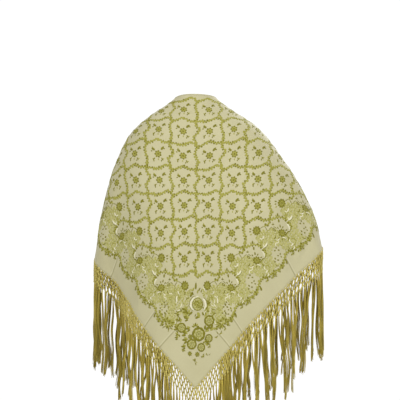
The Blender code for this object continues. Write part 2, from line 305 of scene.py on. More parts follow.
def normals(grid, side):
    """Unit normals of a grid of points, on the outer side of the cloth."""
    across = np.gradient(grid, axis=0)
    down = np.gradient(grid, axis=1)
    return unit(np.cross(down, across) * side)


def folded(grid, reach, share, side, folds):
    """The grid with each fold raised along its normals. A fold is a soft ridge or trough."""
    raised = np.zeros(grid.shape[:2])
    for middle, width, height, start in folds:
        across = np.exp(-((reach - middle) / (width / 2)) ** 2)[:, None]
        down = np.clip((share - start) / (1 - start), 0, 1)[None, :]
        raised += height * across * down**1.3
    return grid + normals(grid, side) * raised[:, :, None]


def draped(reach, share, side):
    """The worn cloth on one side, at each "reach" along the short side and "share" down a section."""
    if side > 0:
        slopes, headings, folds = RIGHT_SLOPES, RIGHT_HEADINGS, RIGHT_FOLDS
    else:
        slopes, headings, folds = LEFT_SLOPES, LEFT_HEADINGS, LEFT_FOLDS
    points = sections(reach, side, slopes, headings)
    at = share * ARC_STEPS
    low = np.clip(np.floor(at).astype(int), 0, ARC_STEPS - 1)
    part = (at - low)[None, :, None]
    grid = points[:, low] * (1 - part) + points[:, low + 1] * part
    return folded(grid, reach, share, side, folds)


print("a section down the back is", round(float(np.linalg.norm(flat_line(np.array([0.0]))[1])), 3), "m long")

# %% [markdown]
# ## One fine surface for everything
#
# The cloth, its embroidery and the fringe all read the same fine table of points, so they fit each
# other. Any point of the flat triangle is named by s, its distance along the long edge from the
# middle, and t, its distance down from that edge. The sections fan out, so the place of a flat point
# among them is found by halving an interval: the further out a section is, the further out it
# crosses the level t.

# %% A fine table of points and normals
REACHES, SHARES = 160, 100     # steps across each half of the back, and down a section
fine_reach = np.linspace(0, 1, REACHES + 1)
fine_share = np.linspace(0, 1, SHARES + 1)
left_half = draped(fine_reach, fine_share, -1.0)
right_half = draped(fine_reach, fine_share, 1.0)
table = np.concatenate([left_half[::-1], right_half[1:]])
flat_start, flat_end = flat_line(fine_reach)
down_share = fine_share[None, :, None]
flat_half = flat_start[:, None] * (1 - down_share) + flat_end[:, None] * down_share
flat_table = np.concatenate([flat_half[::-1] * (-1, 1), flat_half[1:]])


MIDDLE_SPAN, MIDDLE_FADE = 14, 26.0    # columns in the mean, and the columns over which it fades


def eased_middle(points):
    """The same points with a running mean across the middle of the back, fading out to the sides.

    The mean is taken of what the drape adds to the flat cloth hung up plumb, so the point at the
    bottom, which is a corner of the flat cloth, stays as sharp as it was cut.
    """
    plumb = np.stack([flat_table[..., 0], np.zeros(points.shape[:2]), -flat_table[..., 1]], axis=2)
    kernel = np.hanning(2 * MIDDLE_SPAN + 3)[1:-1]
    kernel /= kernel.sum()
    padded = np.pad(points - plumb, ((MIDDLE_SPAN, MIDDLE_SPAN), (0, 0), (0, 0)), mode="reflect",
                    reflect_type="odd")
    mean = sum(k * padded[i:i + len(points)] for i, k in enumerate(kernel)) + plumb
    fade = np.exp(-((np.arange(len(points)) - REACHES) / MIDDLE_FADE) ** 2)[:, None, None]
    return points * (1 - fade) + mean * fade


def bump_noise(s, t, size, seed):
    """Soft hills between -1 and 1: the sum of a few sine waves of one length in chosen directions."""
    chance = np.random.default_rng(seed)
    total = np.zeros_like(s)
    for _ in range(7):
        way, phase = chance.uniform(0, 2 * math.pi, 2)
        wave = 2 * math.pi / (size * chance.uniform(0.75, 1.4))
        total += np.sin(wave * (s * math.cos(way) + t * math.sin(way)) + phase)
    return total / 7 ** 0.5 / 1.6


def edge_place(s, t):
    """How far a flat point lies from the point of the triangle along its side, and in from that side."""
    return (np.abs(s) + DEPTH - t) / 2 ** 0.5, (DEPTH - np.abs(s) - t) / 2 ** 0.5


# Low hills all over the cloth: height, length and seed.
HILLS = ((0.0011, 0.21, 3), (0.0005, 0.075, 4))

# Soft strokes. Columns: side, distance along it from the point, distance in from it, length, width,
# turn in degrees, and height.
RIPPLES = (
    (+1, 0.520, 0.060, 0.120, 0.014, 52, -0.0022),
    (+1, 0.475, 0.045, 0.110, 0.012, 60, 0.0018),
    (+1, 0.560, 0.090, 0.140, 0.016, 44, 0.0020),
    (+1, 0.380, 0.030, 0.070, 0.011, 70, -0.0016),
    (+1, 0.270, 0.034, 0.090, 0.013, 40, 0.0014),
    (+1, 0.320, 0.028, 0.060, 0.009, 62, 0.0013),
    (-1, 0.480, 0.040, 0.100, 0.014, 55, -0.0018),
    (-1, 0.300, 0.040, 0.085, 0.012, 48, 0.0015),
    (-1, 0.560, 0.080, 0.130, 0.016, 60, 0.0019),
    (+1, 0.905, 0.480, 0.090, 0.012, 8, 0.0022),
    (+1, 0.880, 0.450, 0.110, 0.010, 16, -0.0018),
    (-1, 0.900, 0.470, 0.080, 0.012, -6, -0.0018),
)

# Sharp lines across the border: side, and distance along it from the point.
FOLD_LINES = ((-1, 0.155), (-1, 0.232), (-1, 0.454), (1, 0.155), (1, 0.214), (1, 0.440))


def finer_folds(s, t):
    """How far the cloth stands out in its small folds: soft strokes from the table, low hills
    all over, and the sharp lines that packing has left across the border."""
    along, inward = edge_place(s, t)
    raised = sum(height * bump_noise(s, t, size, seed) for height, size, seed in HILLS)
    for side, at, depth, length, width, turn, height in RIPPLES:
        a, b = along - at, inward - depth
        angle = math.radians(turn)
        u = a * math.cos(angle) + b * math.sin(angle)
        v = -a * math.sin(angle) + b * math.cos(angle) + 6.0 * u * u * (1 if height > 0 else -1)
        stroke = np.exp(-((u / (length / 2)) ** 2) - (v / (width / 2)) ** 2)
        raised += height * stroke * (s * side > -0.02)
    for side, at in FOLD_LINES:
        across = np.abs(along - at - 0.004 * np.sin(inward * 40))
        near = np.clip(1 - inward / 0.062, 0, 1) ** 0.3 * (s * side > 0)
        raised += (0.0009 if side > 0 else -0.0009) * np.exp(-across / 0.0025) * near
    return raised


table = eased_middle(table)
table = table + normals(table, 1.0) * finer_folds(flat_table[..., 0], flat_table[..., 1])[..., None]
outward = normals(table, 1.0)
print("fine table:", table.shape, "normal at the middle of the back:", outward[REACHES, 40].round(2))

# %% From the flat cloth to the worn cloth
def find_section(s, t):
    """The section that passes through each flat point, and how far down it the point lies.

    At level t a section with reach r stands at share t / (depth (1 - r)), which gives its s. That s
    grows with r, so 40 halvings of the interval between 0 and 1 - t / depth find the r wanted.
    """
    s, t = np.abs(s), np.clip(t, 1e-6, DEPTH - 1e-6)
    low, high = np.zeros_like(s), 1 - t / DEPTH
    for _ in range(40):
        r = (low + high) / 2
        share = t / (DEPTH * (1 - r))
        beyond = NECK_WRAP * np.sin(r * math.pi / 2) * (1 - share) + DEPTH * r * share > s
        high, low = np.where(beyond, r, high), np.where(beyond, low, r)
    r = (low + high) / 2
    return r, np.clip(t / (DEPTH * (1 - r)), 0, 1)


def worn(s, t, lift=0.0):
    """The place on the worn cloth of flat points, moved out along the normal by lift."""
    s, t = np.asarray(s, float), np.asarray(t, float)
    reach, share = find_section(s, t)
    across = REACHES + np.sign(s) * reach * REACHES
    down = share * SHARES
    i = np.clip(np.floor(across).astype(int), 0, 2 * REACHES - 1)
    j = np.clip(np.floor(down).astype(int), 0, SHARES - 1)
    a, b = (across - i)[..., None], (down - j)[..., None]

    def blend(grid):
        return (grid[i, j] * (1 - a) + grid[i + 1, j] * a) * (1 - b) + (
            grid[i, j + 1] * (1 - a) + grid[i + 1, j + 1] * a) * b

    return blend(table) + unit(blend(outward)) * np.asarray(lift, float)[..., None]


for name, flat in (("nape", (0, 0)), ("point", (0, DEPTH)), ("right corner", (DEPTH, 0))):
    print(name, worn(*flat).round(3))

# %% Put arrays into a mesh
def add_object(name, data):
    """A new object at the origin, linked to the scene."""
    made = bpy.data.objects.new(name, data)
    bpy.context.scene.collection.objects.link(made)
    return made


def make_mesh(name, points, faces, material, uv):
    """A smooth mesh object from arrays of points, of faces with equally many corners, and of the
    points' places on the flat map."""
    mesh = bpy.data.meshes.new(name)
    points, faces = np.asarray(points, np.float32).reshape(-1, 3), np.asarray(faces, np.int32)
    mesh.vertices.add(len(points))
    mesh.vertices.foreach_set("co", points.ravel())
    mesh.loops.add(faces.size)
    mesh.loops.foreach_set("vertex_index", faces.ravel())
    mesh.polygons.add(len(faces))
    mesh.polygons.foreach_set("loop_start", np.arange(len(faces), dtype=np.int32) * faces.shape[1])
    layer = mesh.uv_layers.new(name="flat")
    layer.data.foreach_set("uv", np.asarray(uv, np.float32).reshape(-1, 2)[faces.ravel()].ravel())
    mesh.update(calc_edges=True)
    mesh.validate()
    mesh.shade_smooth()
    mesh.materials.append(material)
    made = add_object(name, mesh)
    print(name, "has", len(faces) * (faces.shape[1] - 2), "triangles")
    return made


def grid_faces(rows, columns):
    """The faces of a grid of rows by columns points, numbered row after row."""
    corner = (np.arange(rows - 1)[:, None] * columns + np.arange(columns - 1)[None, :]).ravel()
    return np.stack([corner, corner + 1, corner + columns + 1, corner + columns], axis=1)

# %% [markdown]
# ## Crepe
#
# Crepe is woven from hard-twisted yarn, so its surface is a fine pebble with a soft sheen and no
# clear lines. The colour hardly changes, which is why small shifts of tone and a bump at the scale
# of the yarn matter. The pattern reads the UV map, which is the flat cloth in metres, so that it
# follows the cloth round every fold.

# %% The cloth's finish
CLOTH_LIGHT = srgb(206, 200, 160)
CLOTH_DEEP = srgb(187, 180, 138)
# Painted light for the packing folds: a dark colour of painted shade in each fold, and a pale colour of
# painted highlight beside it.
CREASE_PAINTED_SHADE, CREASE_PAINTED_HIGHLIGHT = srgb(150, 143, 100), srgb(226, 221, 186)
CREASE_PAINTED_LIGHT = ((0.0030, CREASE_PAINTED_HIGHLIGHT, 0.3), (-0.0008, CREASE_PAINTED_SHADE, 0.85))    # shift, painted colour and strength: a painted highlight line, then a painted shade line
CREASE_SHARP, CREASE_REACH = 420.0, 0.075    # 1 / half width, and how far in from the edge; metres
YARN_SCALE = 420.0                           # for bands as wide as the crepe's yarns


def crepe(tree):
    """Pebbled crepe whose tone drifts a little, with a line of painted shade in each sharp fold and a line of
    painted highlight beside it.
    """
    flat = flat_place(tree)
    pebble, slub = noise(tree, flat, 1500.0), noise(tree, flat, 260.0, 3.0)
    cloudy = noise(tree, flat, 9.0, 3.0)
    weft, warp = (bands(tree, flat, way, YARN_SCALE, 3.0) for way in "YX")
    tone = (pebble * 0.35 + slub * 0.35 + cloudy * 0.9 - 0.3).clamp()
    colour = mix(tree, tone, CLOTH_DEEP, CLOTH_LIGHT)
    across = Sock.node(tree, "ShaderNodeSeparateXYZ", {}, {"Vector": flat})
    down = Sock(tree, across.out.node.outputs["Y"])
    along = (across.math("ABSOLUTE") - down + DEPTH) * 0.5 ** 0.5
    inward = (across.math("ABSOLUTE") * -1.0 - down + DEPTH) * 0.5 ** 0.5
    # Along each fold line, near the fringed sides only, paint a line of painted highlight and a line of
    # painted shade.
    for shift, shade, strength in CREASE_PAINTED_LIGHT:
        lines = 0.0
        for side, fold in FOLD_LINES:
            line = (1.0 - (along - (fold + shift)).math("ABSOLUTE") * CREASE_SHARP).clamp()
            own_half = (across * (side * 500.0)).clamp()
            lines = line * own_half + lines
        near = ((CREASE_REACH - inward) * 60.0).clamp()
        colour = mix(tree, (lines * near * strength).clamp(), colour, shade)
    bump = relief(tree, pebble * 0.6 + weft * 0.25 + warp * 0.25, 0.35, 0.0004)
    return {"Base Color": colour, "Roughness": slub * 0.16 + 0.56, "Normal": bump}


cloth_finish = finish("crepe", crepe, Sheen_Weight=0.25, Sheen_Roughness=0.4, Specular_IOR_Level=0.3)

# %% [markdown]
# ## The cloth
#
# The cloth is one thin closed shell: the fine table moved out by half the cloth's thickness, the
# same table moved in by half, and a rim of faces between them.

# %% The cloth shell
CLOTH_THICK = 0.0009
rows, columns = table.shape[:2]
outer_face, inner_face = table + outward * CLOTH_THICK / 2, table - outward * CLOTH_THICK / 2
shell_faces = grid_faces(rows, columns)
around = np.concatenate([np.arange(columns), np.arange(2 * columns - 1, rows * columns, columns),
                         np.arange(rows * columns - 2, (rows - 1) * columns - 1, -1),
                         np.arange((rows - 2) * columns, 0, -columns)])
following = np.roll(around, -1)
rim = np.stack([around, around + rows * columns, following + rows * columns, following], axis=1)
faces = np.concatenate([shell_faces, shell_faces[:, ::-1] + rows * columns, rim])
cloth = make_mesh("cloth_shell", np.concatenate([outer_face, inner_face]), faces, cloth_finish,
                  np.concatenate([flat_table, flat_table]))
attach(cloth, "root")
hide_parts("cloth")
edge_length = np.linalg.norm(np.diff(table[:, -1], axis=0), axis=1).sum()
print("length of both fringed sides:", round(float(edge_length), 3), "m")

# %% [markdown]
# ## Satin stitch
#
# Satin stitch fills a small shape with threads laid side by side, so each petal and leaf stands a
# little proud and shines across its length. Both faces of such a shawl are worked alike. Each
# stitched shape here is one closed, pointed pad that goes right through the cloth. It is drawn on
# the flat cloth as an arc with a width, and then carried to the worn cloth.
#
# A motif is a table of such pads in millimetres. Its columns are x, y, the way it points in degrees,
# its length, its width, how far it bends in degrees, and its thread. Here x runs along the shawl's
# long edge and y runs up towards that edge.

# %% Threads
OLIVE, LEAF, PALE, CREAM = 0, 1, 2, 3
THREADS = {
    OLIVE: ("thread_olive", srgb(108, 104, 20), srgb(146, 140, 48)),
    LEAF: ("thread_leaf", srgb(146, 142, 54), srgb(177, 172, 86)),
    PALE: ("thread_pale", srgb(172, 168, 98), srgb(198, 193, 126)),
    CREAM: ("thread_cream", srgb(222, 216, 180), srgb(238, 233, 204)),
}


def silk(dark, light, pitch):
    """Silky thread laid in rows: fine bands across the pad, with a change of tone from row to row."""
    def build(tree):
        rows = bands(tree, flat_place(tree), "X", 0.314 / pitch, 1.2, 1.0)
        patchy = noise(tree, object_place(tree), 160.0)
        tone = (rows * 0.35 + patchy * 1.2 - 0.25).clamp()
        return {"Base Color": mix(tree, tone, dark, light), "Roughness": rows * -0.12 + 0.62,
                "Normal": relief(tree, rows, 0.3, 0.0003)}
    return build


THREAD_PITCH = 0.0006
thread_finish = {
    tone: finish(name, silk(dark, light, THREAD_PITCH), Specular_IOR_Level=0.2)
    for tone, (name, dark, light) in THREADS.items()
}

# %% Settle the pattern on the cloth
DRAW_IN, DRAW_REACH = 42, 250    # mm that the lattice moves in, and how far out it does most of it
RIDE_UP, RIDE_WIDTH = 13, 80     # mm that the columns next to the middle ride up, and how wide that is


def ease(value, low, high):
    """0 below low, 1 above high, and a smooth rise between them."""
    u = np.clip((value - low) / (high - low), 0, 1)
    return u * u * (3 - 2 * u)


def settle(x, y):
    """Where a point of the pattern lands, in millimetres.

    The pattern is drawn on squares. Hand embroidery draws the crepe in, so the lattice comes out
    narrower than it is tall: each half moves in by up to 42 mm. Near the fringed sides and in the
    posy nothing moves, and the columns next to the middle ride up a little.
    """
    far, down = np.abs(x), -y
    inward = (DEPTH * 1000 - far - down) / 2 ** 0.5
    holds = ease(inward, 30, 150) * (1 - ease(down, 590, 640))
    top = 1 - (1 - ease(down, 150, 430)) * np.exp(-(far / 150) ** 2)
    ride = ease(down, 150, 430) * (1 - 0.6 * ease(down, 500, 580))
    return (x + 2 * holds - np.sign(x) * DRAW_IN * np.tanh(far / DRAW_REACH) * holds * top,
            y + RIDE_UP * np.exp(-(far / RIDE_WIDTH) ** 2) * ride)

# %% Chains of rings
def chain_faces(chains, rings, sides):
    """Triangles of many closed chains, each an end point, then rings of corners, then an end point."""
    k, j = np.arange(rings - 1)[:, None] * sides + 1, np.arange(sides)[None, :]
    turned = (j + 1) % sides
    a, b, c, d = k + j, k + turned, k + sides + turned, k + sides + j
    j, turned, last = j[0], turned[0], (rings - 1) * sides + 1
    one = np.concatenate([
        np.stack([a, b, c], 2).reshape(-1, 3), np.stack([a, c, d], 2).reshape(-1, 3),
        np.stack([np.zeros(sides, int), turned + 1, j + 1], 1),
        np.stack([np.full(sides, last + sides), last + j, last + turned], 1)])
    return (one + np.arange(chains)[:, None, None] * (rings * sides + 2)).reshape(-1, 3)


def capped(first, rings, last):
    """A row of values for each chain: its first end, the corners of all its rings, its last end."""
    return np.concatenate([first, rings.reshape(len(rings), -1), last], axis=1)

# %% Pads from a table
PAD_STEPS = 5
# The corners of a pad's section: in half widths across, and up or down by half the thickness.
PAD_SECTION = np.array([(-1.25, 0), (-0.82, 1), (0.82, 1), (1.25, 0), (0.82, -1), (-0.82, -1)], float)
LIFTS = {OLIVE: 0.00060, LEAF: 0.00055, PALE: 0.00035, CREAM: 0.00070}    # proud of the cloth, metres
HEM_CLEAR = 0.006, 0.012    # how far down from the long edge and level from a fringed side pads begin


def pads(name, stitches, steps=PAD_STEPS):
    """One mesh for each thread in a motif that is placed on the flat cloth.

    A pad's middle line is an arc. Its heading turns evenly from half the bend before to half the
    bend after the way it points, its half width swells and closes as the root of a sine, and its
    section is a flat six-sided ring round the cloth.
    """
    for tone in THREADS:
        rows = stitches[stitches[:, 6] == tone]
        t = -rows[:, 1] / 1000
        rows = rows[(t > HEM_CLEAR[0]) & (np.abs(rows[:, 0]) / 1000 + t < DEPTH - HEM_CLEAR[1])]
        if not len(rows):
            continue
        x, y, angle, length, width, bend = (rows[:, k, None] for k in range(6))
        u = np.linspace(0, 1, steps + 1)[None, :]
        heading = np.radians(angle + bend * ((u[:, 1:] + u[:, :-1]) / 2 - 0.5))
        px = np.concatenate([x, x + np.cumsum(np.cos(heading) * length / steps, axis=1)], axis=1)
        py = np.concatenate([y, y + np.cumsum(np.sin(heading) * length / steps, axis=1)], axis=1)
        way = np.radians(angle + bend * (u - 0.5))[:, 1:-1, None]
        half = width / 2 * np.sin(np.pi * u ** 0.9) ** 0.7
        off = half[:, 1:-1, None] * PAD_SECTION[:, 0]
        none = np.zeros((len(rows), 1))
        up = np.broadcast_to(PAD_SECTION[:, 1] * (CLOTH_THICK / 2 + LIFTS[tone]), off.shape)
        all_x = capped(px[:, :1], px[:, 1:-1, None] - np.sin(way) * off, px[:, -1:])
        all_y = capped(py[:, :1], py[:, 1:-1, None] + np.cos(way) * off, py[:, -1:])
        laid_x, laid_y = settle(all_x, all_y)
        points = worn(laid_x / 1000, -laid_y / 1000, capped(none, up, none))
        along = np.broadcast_to((u * length)[:, 1:-1, None], off.shape)
        flat = np.stack([capped(none, along, length), capped(none, off, none)], axis=2) / 1000
        piece = make_mesh(f"{name}_{THREADS[tone][0]}", points,
                          chain_faces(len(rows), steps - 1, len(PAD_SECTION)), thread_finish[tone], flat)
        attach(piece, "root")

# %% Helpers that draw motifs
def motif(*rows):
    """A table of pads from its rows."""
    return np.array(rows, float).reshape(-1, 7)


def join(*parts):
    """One table of pads from several."""
    return np.concatenate([np.asarray(part, float).reshape(-1, 7) for part in parts])


def ring(count, radius, length, width, tone, start=0.0):
    """Pads set round a circle, each pointing outwards from its place on the circle."""
    angle = start + np.arange(count) * 360.0 / count
    way = np.radians(angle)
    one = np.ones(count)
    return np.stack([radius * np.cos(way), radius * np.sin(way), angle, one * length, one * width,
                     one * 0, one * tone], axis=1)


def band(count, radius, width, tone, start=0.0, squash=1.0):
    """Pads laid end to end round a circle, each past the next one's start: a scalloped ring."""
    angle = start + np.arange(count) * 360.0 / count
    way = np.radians(angle)
    turn = 360.0 / count
    one = np.ones(count)
    chord = 2 * radius * math.sin(math.radians(turn / 2)) * 1.5
    return np.stack([radius * np.cos(way), squash * radius * np.sin(way), angle + 90 + turn / 2, one * chord,
                     one * width, one * turn * 1.3, one * tone], axis=1)


def placed(rows, x=0.0, y=0.0, turn=0.0, scale=1.0, mirror=False):
    """A motif turned, scaled and moved to a place on the flat cloth."""
    rows = np.array(rows, float)
    if mirror:
        rows[:, 0], rows[:, 2], rows[:, 5] = -rows[:, 0], 180 - rows[:, 2], -rows[:, 5]
    c, s = math.cos(math.radians(turn)), math.sin(math.radians(turn))
    px, py = rows[:, 0].copy() * scale, rows[:, 1].copy() * scale
    rows[:, 0], rows[:, 1] = x + c * px - s * py, y + s * px + c * py
    rows[:, 2] += turn
    rows[:, 3:5] *= scale
    return rows


def several(rows, *places):
    """The same motif at several places, each given by x, y, turn and scale."""
    return join(*(placed(rows, *place) for place in places))


def through(*points):
    """A smooth curve through a few points: curve(u) gives its x and y for u from 0 to 1."""
    rows = [(k / (len(points) - 1), x, y) for k, (x, y) in enumerate(points)]
    return lambda u: smooth_rows(rows, u, False)[:, 1:].T


DARK_LEAVES = 0.42    # the share of a garland's leaves that is worked in the darker thread


def garland(curve, stations, leaf, seed, stem=5.0, lean=44.0):
    """A leafy vine: stem strokes along a curve, and at every station a leaf on each side.

    The leaves differ in size and lean, and about two in five are of the darker thread.
    """
    u = np.linspace(0, 1, stations + 1)
    x, y = curve(u)
    angle = np.degrees(np.arctan2(np.diff(y), np.diff(x)))
    span = np.hypot(np.diff(x), np.diff(y))
    one = np.ones(stations)
    turn = np.degrees(np.diff(np.unwrap(np.radians(np.append(angle, angle[-1])))))
    chance = np.random.default_rng(seed)
    width = stem * chance.uniform(0.75, 1.25, stations)
    parts = [np.stack([x[:-1], y[:-1], angle, span * 1.5, width, turn, one * LEAF], axis=1)]
    for side in (1, -1):
        size = leaf * chance.uniform(0.65, 1.2, stations)
        shift = 0.5 if side < 0 else 0.0
        tone = np.where(chance.uniform(0, 1, stations) < DARK_LEAVES, OLIVE, LEAF)
        parts.append(np.stack([x[:-1] + np.diff(x) * shift, y[:-1] + np.diff(y) * shift,
                               angle + side * (lean + chance.uniform(-14, 14, stations)), size, size * 0.74,
                               one * side * -20, tone], axis=1))
    return np.concatenate(parts)

# %% [markdown]
# ## The lattice
#
# The middle of the shawl is a lattice of wavy garlands with a rosette in each cell. It is laid out 75 mm
# from one garland to the next, and `settle` then moves it in a little. Links of two kinds take turns:
# down the cloth a bold S follows a soft one, and across it a dip with an arch follows a plain arch. The
# lattice steps down towards the point like a staircase: one cell each side of the middle in the lowest
# row, and one more each side in every row above.

# %% Rosettes and links
CELL = 75.0           # mm from one garland to the next, before the pattern settles
ROW_TOP = 19.0        # mm from the long edge down to the first garland
ROWS_OF_CELLS = 7

rosette = join(
    ring(8, 0.6, 9.0, 5.8, LEAF, start=10), ring(7, 5.6, 6.2, 5.0, OLIVE, start=26),
    band(7, 6.6, 1.8, OLIVE), ring(5, 0.1, 3.0, 1.7, OLIVE, start=40),
    motif((-8, 9.5, 150, 14, 6.8, 24, OLIVE), (-14, 14, 112, 8, 4.0, 0, LEAF),
          (-16, 9, 195, 6, 3.6, 0, OLIVE), (9, 10.5, 47, 17, 6.6, -14, OLIVE),
          (15, 14, 100, 7, 3.6, 0, LEAF), (17, 15, 10, 6, 3.4, 0, OLIVE),
          (-9, -10, 228, 12, 3.2, 15, OLIVE), (-11, -14, 178, 8, 3.0, 0, LEAF),
          (-14, -16, 268, 7, 3.0, 0, OLIVE), (8.5, -10, 302, 12, 3.2, -15, OLIVE),
          (11, -14, 0, 8, 3.0, 0, LEAF), (10, -16, 255, 7, 3.0, 0, OLIVE), (0, -12, 268, 7, 2.8, 0, LEAF)),
)

LINK_STATIONS, LINK_LEAF = 10, 7.6    # places for leaves along a link, and a leaf's length in mm

# How a link swings over one cell. Columns: the share of the cell, and the offset in mm.
UPRIGHT_BOLD = ((0, -1), (0.2, 0), (0.41, 9), (0.56, 1), (0.72, -8), (0.88, -1), (1, 2))
UPRIGHT_SOFT = ((0, 7), (0.15, 1), (0.35, -3), (0.55, 0.5), (0.75, 5.5), (0.9, 1), (1, -1))
LEVEL_DIP = ((0, -1), (0.2, -3), (0.45, -4.5), (0.62, 0), (0.78, 7), (0.9, 4), (1, -3))
LEVEL_ARCH = ((0, -10), (0.12, -6.5), (0.28, -1), (0.5, 6.5), (0.66, 1), (0.82, -1.5), (1, -1))


def link(swing, upright, seed):
    """One garland over one cell, down it or along it, which swings out by the table's offsets."""
    def curve(u):
        offset = smooth_rows(swing, u, False)[:, 1]
        return (offset, -CELL * u) if upright else (CELL * u, offset)
    return garland(curve, LINK_STATIONS, LINK_LEAF, seed)


def kinds(upright, *swings):
    """Three links of each kind, which differ in their leaves alone."""
    return [[link(swing, upright, seed + k) for k in range(3)] for seed, swing in swings]


uprights = kinds(True, (1, UPRIGHT_BOLD), (11, UPRIGHT_SOFT))
levels = kinds(False, (21, LEVEL_DIP), (31, LEVEL_ARCH))

# %% Set out the lattice
TURNS = (1, 0, 1, 0, 0, 1, 0, 1)    # the kind of link that each row has right of the middle
LINK_STEPS, ROSETTE_STEPS, BORDER_STEPS, GROUND_STEPS = 3, 4, 4, 3
lattice_links, lattice_cells = [], []
chance = np.random.default_rng(5)
for row in range(ROWS_OF_CELLS + 1):
    reach_cells = ROWS_OF_CELLS - row
    above = reach_cells + 1 if row else reach_cells
    top = -(ROW_TOP + CELL * row)
    for column in range(-above, above):
        kind = (TURNS[row] + column) % 2
        lattice_links.append(placed(levels[kind][chance.integers(3)], CELL * column, top))
    for column in range(-reach_cells, reach_cells):
        lattice_cells.append(placed(rosette, CELL * (column + 0.5), top - CELL / 2, chance.uniform(-6, 6)))
    for column in range(-reach_cells, reach_cells + 1):
        if row < ROWS_OF_CELLS:
            kind = (TURNS[row] + column) % 2
            lattice_links.append(placed(uprights[kind][chance.integers(3)], CELL * column, top))
pads("lattice", join(*lattice_links), LINK_STEPS)
pads("rosettes", join(*lattice_cells), ROSETTE_STEPS)

# %% [markdown]
# ## The border
#
# Along both fringed sides runs a broad border that repeats once for each step of the staircase. A
# step holds two flowers joined by thin arches, and a leafy crook that bends round the second one.
# Below them lies a dense ground of small pale leaves with dark dots and pale crescents, with an open
# bay of three small leaves, and then the outer garland. Past it the crepe is bare up to the net.
#
# The flowers belong to the lattice, so they are drawn from an inner corner of the staircase, with x
# along the long edge and y up. The ground and the garland belong to the fringed side, so they are
# drawn with x along that side and y in from it.

# %% What stands on each step
# How far the lowest corner of the staircase lies in from a fringed side, and how long one repeat is.
STEP_IN = (DEPTH * 1000 - ROW_TOP - ROWS_OF_CELLS * CELL) / 2 ** 0.5
REPEAT = CELL * 2 ** 0.5


def flower(petals, radius, seed):
    """An open flower: dark petals over paler ones, a ring between them and a dark heart."""
    spin = np.random.default_rng(seed).uniform(0, 60)
    return join(ring(petals, radius * 0.02, radius * 0.9, radius * 0.46, LEAF, start=spin + 180 / petals),
                ring(petals, radius * 0.45, radius * 0.7, radius * 0.46, OLIVE, start=spin),
                band(petals, radius * 0.52, radius * 0.22, OLIVE, start=spin),
                ring(5, 0.2, radius * 0.36, radius * 0.24, OLIVE, start=spin + 20))


spray = motif((0, 0, 90, 10, 3.8, 0, OLIVE), (-1, 0, 125, 9, 3.4, 15, LEAF), (1, 0, 55, 9, 3.4, -15, LEAF),
              (-2, -1, 160, 8, 3.2, 15, OLIVE), (2, -1, 20, 8, 3.2, -15, OLIVE))
triad = motif((0, 2, 90, 7.5, 3.8, 0, OLIVE), (-2, 0, 205, 7, 3.6, 20, OLIVE),
              (2, 0, -25, 7, 3.6, -20, OLIVE))
arches = motif((48, -24, 26, 14, 1.7, -34, OLIVE), (60, -18, -52, 19, 1.7, -34, OLIVE),
               (75, -28, 40, 15, 1.7, -34, OLIVE), (87, -18, -30, 15, 1.7, -34, OLIVE),
               (87, -16, 90, 9, 1.9, 0, OLIVE), (87, -15, 140, 6, 1.8, 0, OLIVE),
               (87, -15, 40, 6, 1.8, 0, OLIVE))
crook_line = through((77, 0), (88, 2), (100, 6), (112, 7), (123, 4), (132, -3), (138, -12), (139, -22))
crook = join(
    garland(crook_line, 9, 6.8, 51, 4.2),
    motif((100, 8, 90, 11, 5.0, 10, OLIVE), (97, 8, 130, 7, 3.4, 20, LEAF), (103, 8, 50, 7, 3.4, -20, LEAF),
          (104, 3, -80, 12, 5.0, 0, OLIVE), (138, -21, -120, 8, 3.2, -40, OLIVE)),
)
stub = garland(through((75, 1), (76, -5), (72, -12), (62, -17)), 3, 6.6, 52, 4.6)
crescents = motif((144, 16, -135, 26, 5.2, -95, CREAM), (126, -8, -70, 24, 4.2, -85, CREAM),
                  (147, -66, 232, 15, 3.2, -50, CREAM), (147, 16, -135, 30, 1.9, -95, OLIVE),
                  (60, -40, -120, 18, 3.6, -80, CREAM), (48, -52, -20, 9, 2.6, -60, CREAM))
step_motifs = join(
    placed(flower(10, 12.4, 1), 37, -30), placed(flower(9, 11, 2), 113, -35), arches, crook, stub, crescents,
    motif((22, -26, 172, 9, 3.6, 0, OLIVE), (21, -32, 192, 8, 3.4, 0, OLIVE), (23, -38, 218, 8, 3.4, 0, LEAF),
          (109, -22, 96, 11, 3.6, 10, OLIVE), (104, -25, 128, 8, 3.0, 10, OLIVE),
          (114, -23, 58, 8, 3.0, -10, OLIVE), (122, -28, 24, 8, 3.0, -10, OLIVE),
          (112, -47, -95, 9, 3.0, 0, OLIVE), (119, -45, -60, 8, 3.0, 0, OLIVE),
          (105, -45, -130, 8, 3.0, 0, OLIVE), (101, -36, 186, 7, 2.8, 0, LEAF)),
    several(triad, (94, -80, 10, 1.0), (102, -95, -15, 0.9), (92, -108, 30, 1.0)),
)

# %% The ground and the outer garland
OUTER_IN = 60         # mm from the fringed side in to the outer garland


def outer_wave(u):
    """The outer garland: one long wave for each repeat, and a small one of half its length on it."""
    x = REPEAT * (u - 0.5)
    small = 1.8 * np.sin(4 * np.pi * (x - 8) / REPEAT)
    return x, OUTER_IN + 7.0 * np.cos(2 * np.pi * (x - 32) / REPEAT) + small


# The stepped line where the ground ends. Columns: the place along the side, and how far in the line is.
GROUND_TOP = np.array([(-12, 157), (24, 157), (29, 141), (46, 140), (53, 112), (70, 100), (84, 106),
                       (92, 140), (94, 157)])
SPREAD = 0.7548776662, 0.5698402910    # steps of a series whose points never line up


